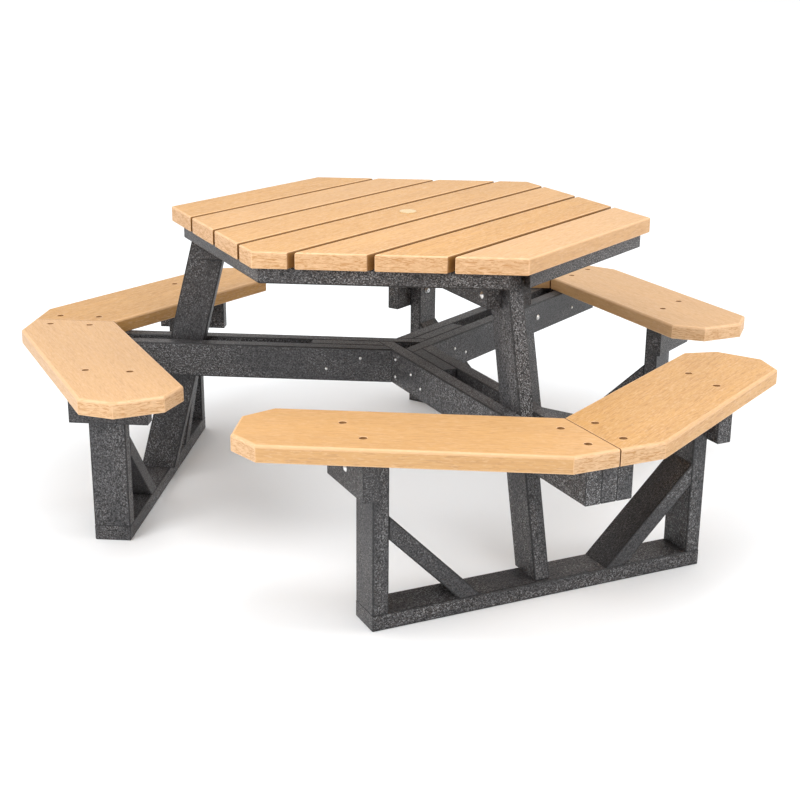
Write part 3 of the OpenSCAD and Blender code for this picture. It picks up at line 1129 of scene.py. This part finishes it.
class PICNIC_OT_umbrella_plug(bpy.types.Operator):
    """The cap that closes the umbrella hole, with the tab that lifts it"""

    bl_idname = "picnic.umbrella_plug"
    bl_label = "Umbrella plug"

    def execute(self, context):
        sizes = context.scene.picnic_sizes
        low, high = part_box("umbrella_plug")
        _plank_low, plank_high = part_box("top_plank_4")
        centre = hub()
        flange = sizes.plug_flange / 2
        sleeve = sizes.pole_hole / 2 - PLUG_SLACK
        crown = high.z - plank_high.z
        bottom = low.z - plank_high.z
        inner = sleeve - PLUG_WALL
        ceiling = crown - PLUG_WALL * 0.9
        profile = [(0, ceiling), (inner, ceiling), (inner, bottom), (sleeve - 0.0008, bottom)]
        profile += [(sleeve, bottom + 0.0012), (sleeve, 0), (flange, 0), (flange, crown * 0.4)]
        profile += [(flange - 0.0008, crown * 0.75), (flange - 0.0022, crown), (flange * 0.62, crown)]
        profile += [(flange * 0.58, crown - 0.0006), (flange * 0.3, crown - 0.0008)]
        profile += [(0, crown - 0.0009)]
        cap = lathe(profile, turns=64)
        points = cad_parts["umbrella_plug"].data.vertices
        offsets = [point.co.xy - centre.xy for point in points]
        tip = sum((offset for offset in offsets if offset.length > flange * 1.1), Vector((0, 0)))
        reach = max(offset.length for offset in offsets)
        tab = tab_shape(flange * 0.85, reach - 0.0008, TAB_HALF_WIDTH, crown * 0.8)
        tab.transform(Matrix.Rotation(math.atan2(tip.y, tip.x), 4, "Z"))
        both = merged([cap, tab])
        both.transform(Matrix.Translation((centre.x, centre.y, plank_high.z)))
        plug = sharpen(object_from("moulded_umbrella_plug", both), 40)
        dress(plug, finish_of(context, moulded_cream), PLUG_BODY, "plug", "umbrella_plug")
        return {"FINISHED"}


def tab_shape(start, reach, half_width, height):
    """A finger tab with a rounded end, lying along +X."""
    solid = bmesh.new()
    outline = [(0, -half_width)]
    steps = 12
    for step in range(steps + 1):
        turn = -math.pi / 2 + math.pi * step / steps
        out = reach - start - half_width + half_width * math.cos(turn)
        outline.append((out, half_width * math.sin(turn)))
    outline.append((0, half_width))
    rings = []
    for level, shorter, narrower in ((0, 1, 1), (height * 0.7, 1, 1), (height, 0.97, 0.86)):
        ring = [solid.verts.new((start + x * shorter, y * narrower, level)) for x, y in outline]
        rings.append(ring)
    skin(solid, rings)
    bmesh.ops.recalc_face_normals(solid, faces=solid.faces)
    return solid


# ---- Stage -------------------------------------------------------------------------------------


def direction(azimuth, elevation):
    """The unit vector at an azimuth and a height angle."""
    return Vector((*polar(math.cos(elevation), azimuth), math.sin(elevation)))


def soft_light(name, knee, azimuth, elevation, distance, size, power):
    """A square light that faces the knee point, at a direction from there given in degrees."""
    data = bpy.data.lights.new(name, "AREA")
    data.shape = "SQUARE"
    data.size = size
    data.energy = power
    lamp = bpy.data.objects.new(name, data)
    bpy.context.scene.collection.objects.link(lamp)
    way = direction(math.radians(azimuth), math.radians(elevation))
    lamp.location = knee + way * distance
    lamp.rotation_euler = way.to_track_quat("Z", "Y").to_euler()


class PICNIC_OT_stage(bpy.types.Operator):
    """The pale floor, the white surroundings, the soft lights and the camera"""

    bl_idname = "picnic.stage"
    bl_label = "Stage"

    def execute(self, context):
        scene = context.scene
        stage = scene.picnic_stage
        scene.view_settings.view_transform = "Standard"
        self.floor(context)
        self.surroundings(scene, stage)
        centre = hub()
        knee = centre + UP * KNEE_HEIGHT
        soft_light("key", knee, 172, 34, distance=4.0, size=1.6, power=stage.key_power)
        soft_light("fill", knee, 290, 30, distance=4.0, size=1.6, power=stage.fill_power)
        soft_light("overhead", knee, 214, 68, distance=2.6, size=0.8, power=stage.top_power)
        self.camera(scene, stage, centre)
        return {"FINISHED"}

    def floor(self, context):
        """A wide round floor."""
        solid = bmesh.new()
        bmesh.ops.create_circle(solid, cap_ends=True, segments=96, radius=FLOOR_RADIUS)
        floor = object_from("floor", solid)
        floor.data.materials.append(finish_of(context, pale_floor))

    def surroundings(self, scene, stage):
        """A soft sky, brightest overhead, behind a plain white backdrop."""
        world = bpy.data.worlds.new("white_studio")
        world.use_nodes = True
        background = world.node_tree.nodes["Background"]
        background.inputs["Color"].default_value = (1.0, 1.0, 1.0, 1.0)
        nodes = Nodes(world.node_tree)
        way = nodes.node("ShaderNodeTexCoord", output="Generated")
        height = nodes.node("ShaderNodeSeparateXYZ", inputs={"Vector": way}, output="Z")
        glow = stage.horizon + nodes.step(height, *SKY_FADE) * (stage.zenith - stage.horizon)
        backdrop = nodes.node("ShaderNodeLightPath", output="Is Camera Ray")
        nodes.join(glow + (1 - glow) * backdrop, background.inputs["Strength"])
        scene.world = world

    def camera(self, scene, stage, centre):
        """A camera that looks at the target and is rolled about its own axis."""
        data = bpy.data.cameras.new("camera")
        data.sensor_width = SENSOR_WIDTH
        data.lens = stage.lens
        camera = bpy.data.objects.new("camera", data)
        scene.collection.objects.link(camera)
        target = centre + Vector(stage.target)
        back = direction(stage.azimuth, stage.elevation)
        camera.location = target + back * stage.distance
        turn = back.to_track_quat("Z", "Y").to_matrix().to_4x4()
        roll = Matrix.Rotation(stage.roll, 4, "Z")
        camera.matrix_world = Matrix.Translation(camera.location) @ turn @ roll
        scene.camera = camera


# ---- Panel and registration --------------------------------------------------------------------

OPERATORS = (
    PICNIC_OT_top_planks,
    PICNIC_OT_cleats,
    PICNIC_OT_bearers,
    PICNIC_OT_arms,
    PICNIC_OT_legs,
    PICNIC_OT_bench_frames,
    PICNIC_OT_seats,
    PICNIC_OT_seat_screws,
    PICNIC_OT_frame_screws,
    PICNIC_OT_bolts,
    PICNIC_OT_umbrella_plug,
    PICNIC_OT_stage,
)


class PICNIC_PT_panel(bpy.types.Panel):
    """Lists the table's operators and settings"""

    bl_idname = "PICNIC_PT_panel"
    bl_label = "Picnic Table"
    bl_space_type = "VIEW_3D"
    bl_region_type = "UI"
    bl_category = "Picnic Table"

    def draw(self, context):
        layout = self.layout
        for operator in OPERATORS:
            layout.operator(operator.bl_idname)
        for group in ("picnic_sizes", "picnic_colours", "picnic_stage"):
            settings = getattr(context.scene, group)
            box = layout.box()
            for name in settings.__annotations__:
                box.prop(settings, name)


CLASSES = (PicnicSizes, PicnicColours, PicnicStage) + OPERATORS + (PICNIC_PT_panel,)


def register():
    for cls in CLASSES:
        bpy.utils.register_class(cls)
    bpy.types.Scene.picnic_sizes = bpy.props.PointerProperty(type=PicnicSizes)
    bpy.types.Scene.picnic_colours = bpy.props.PointerProperty(type=PicnicColours)
    bpy.types.Scene.picnic_stage = bpy.props.PointerProperty(type=PicnicStage)


def unregister():
    del bpy.types.Scene.picnic_sizes
    del bpy.types.Scene.picnic_colours
    del bpy.types.Scene.picnic_stage
    for cls in reversed(CLASSES):
        bpy.utils.unregister_class(cls)


def main():
    """Builds the whole table and its stage."""
    register()
    bpy.ops.picnic.stage()
    bpy.ops.picnic.top_planks()
    bpy.ops.picnic.cleats()
    bpy.ops.picnic.bearers()
    bpy.ops.picnic.arms()
    bpy.ops.picnic.legs()
    bpy.ops.picnic.bench_frames()
    bpy.ops.picnic.seats()
    bpy.ops.picnic.seat_screws()
    bpy.ops.picnic.frame_screws()
    bpy.ops.picnic.bolts()
    bpy.ops.picnic.umbrella_plug()


if __name__ == "__main__":
    main()
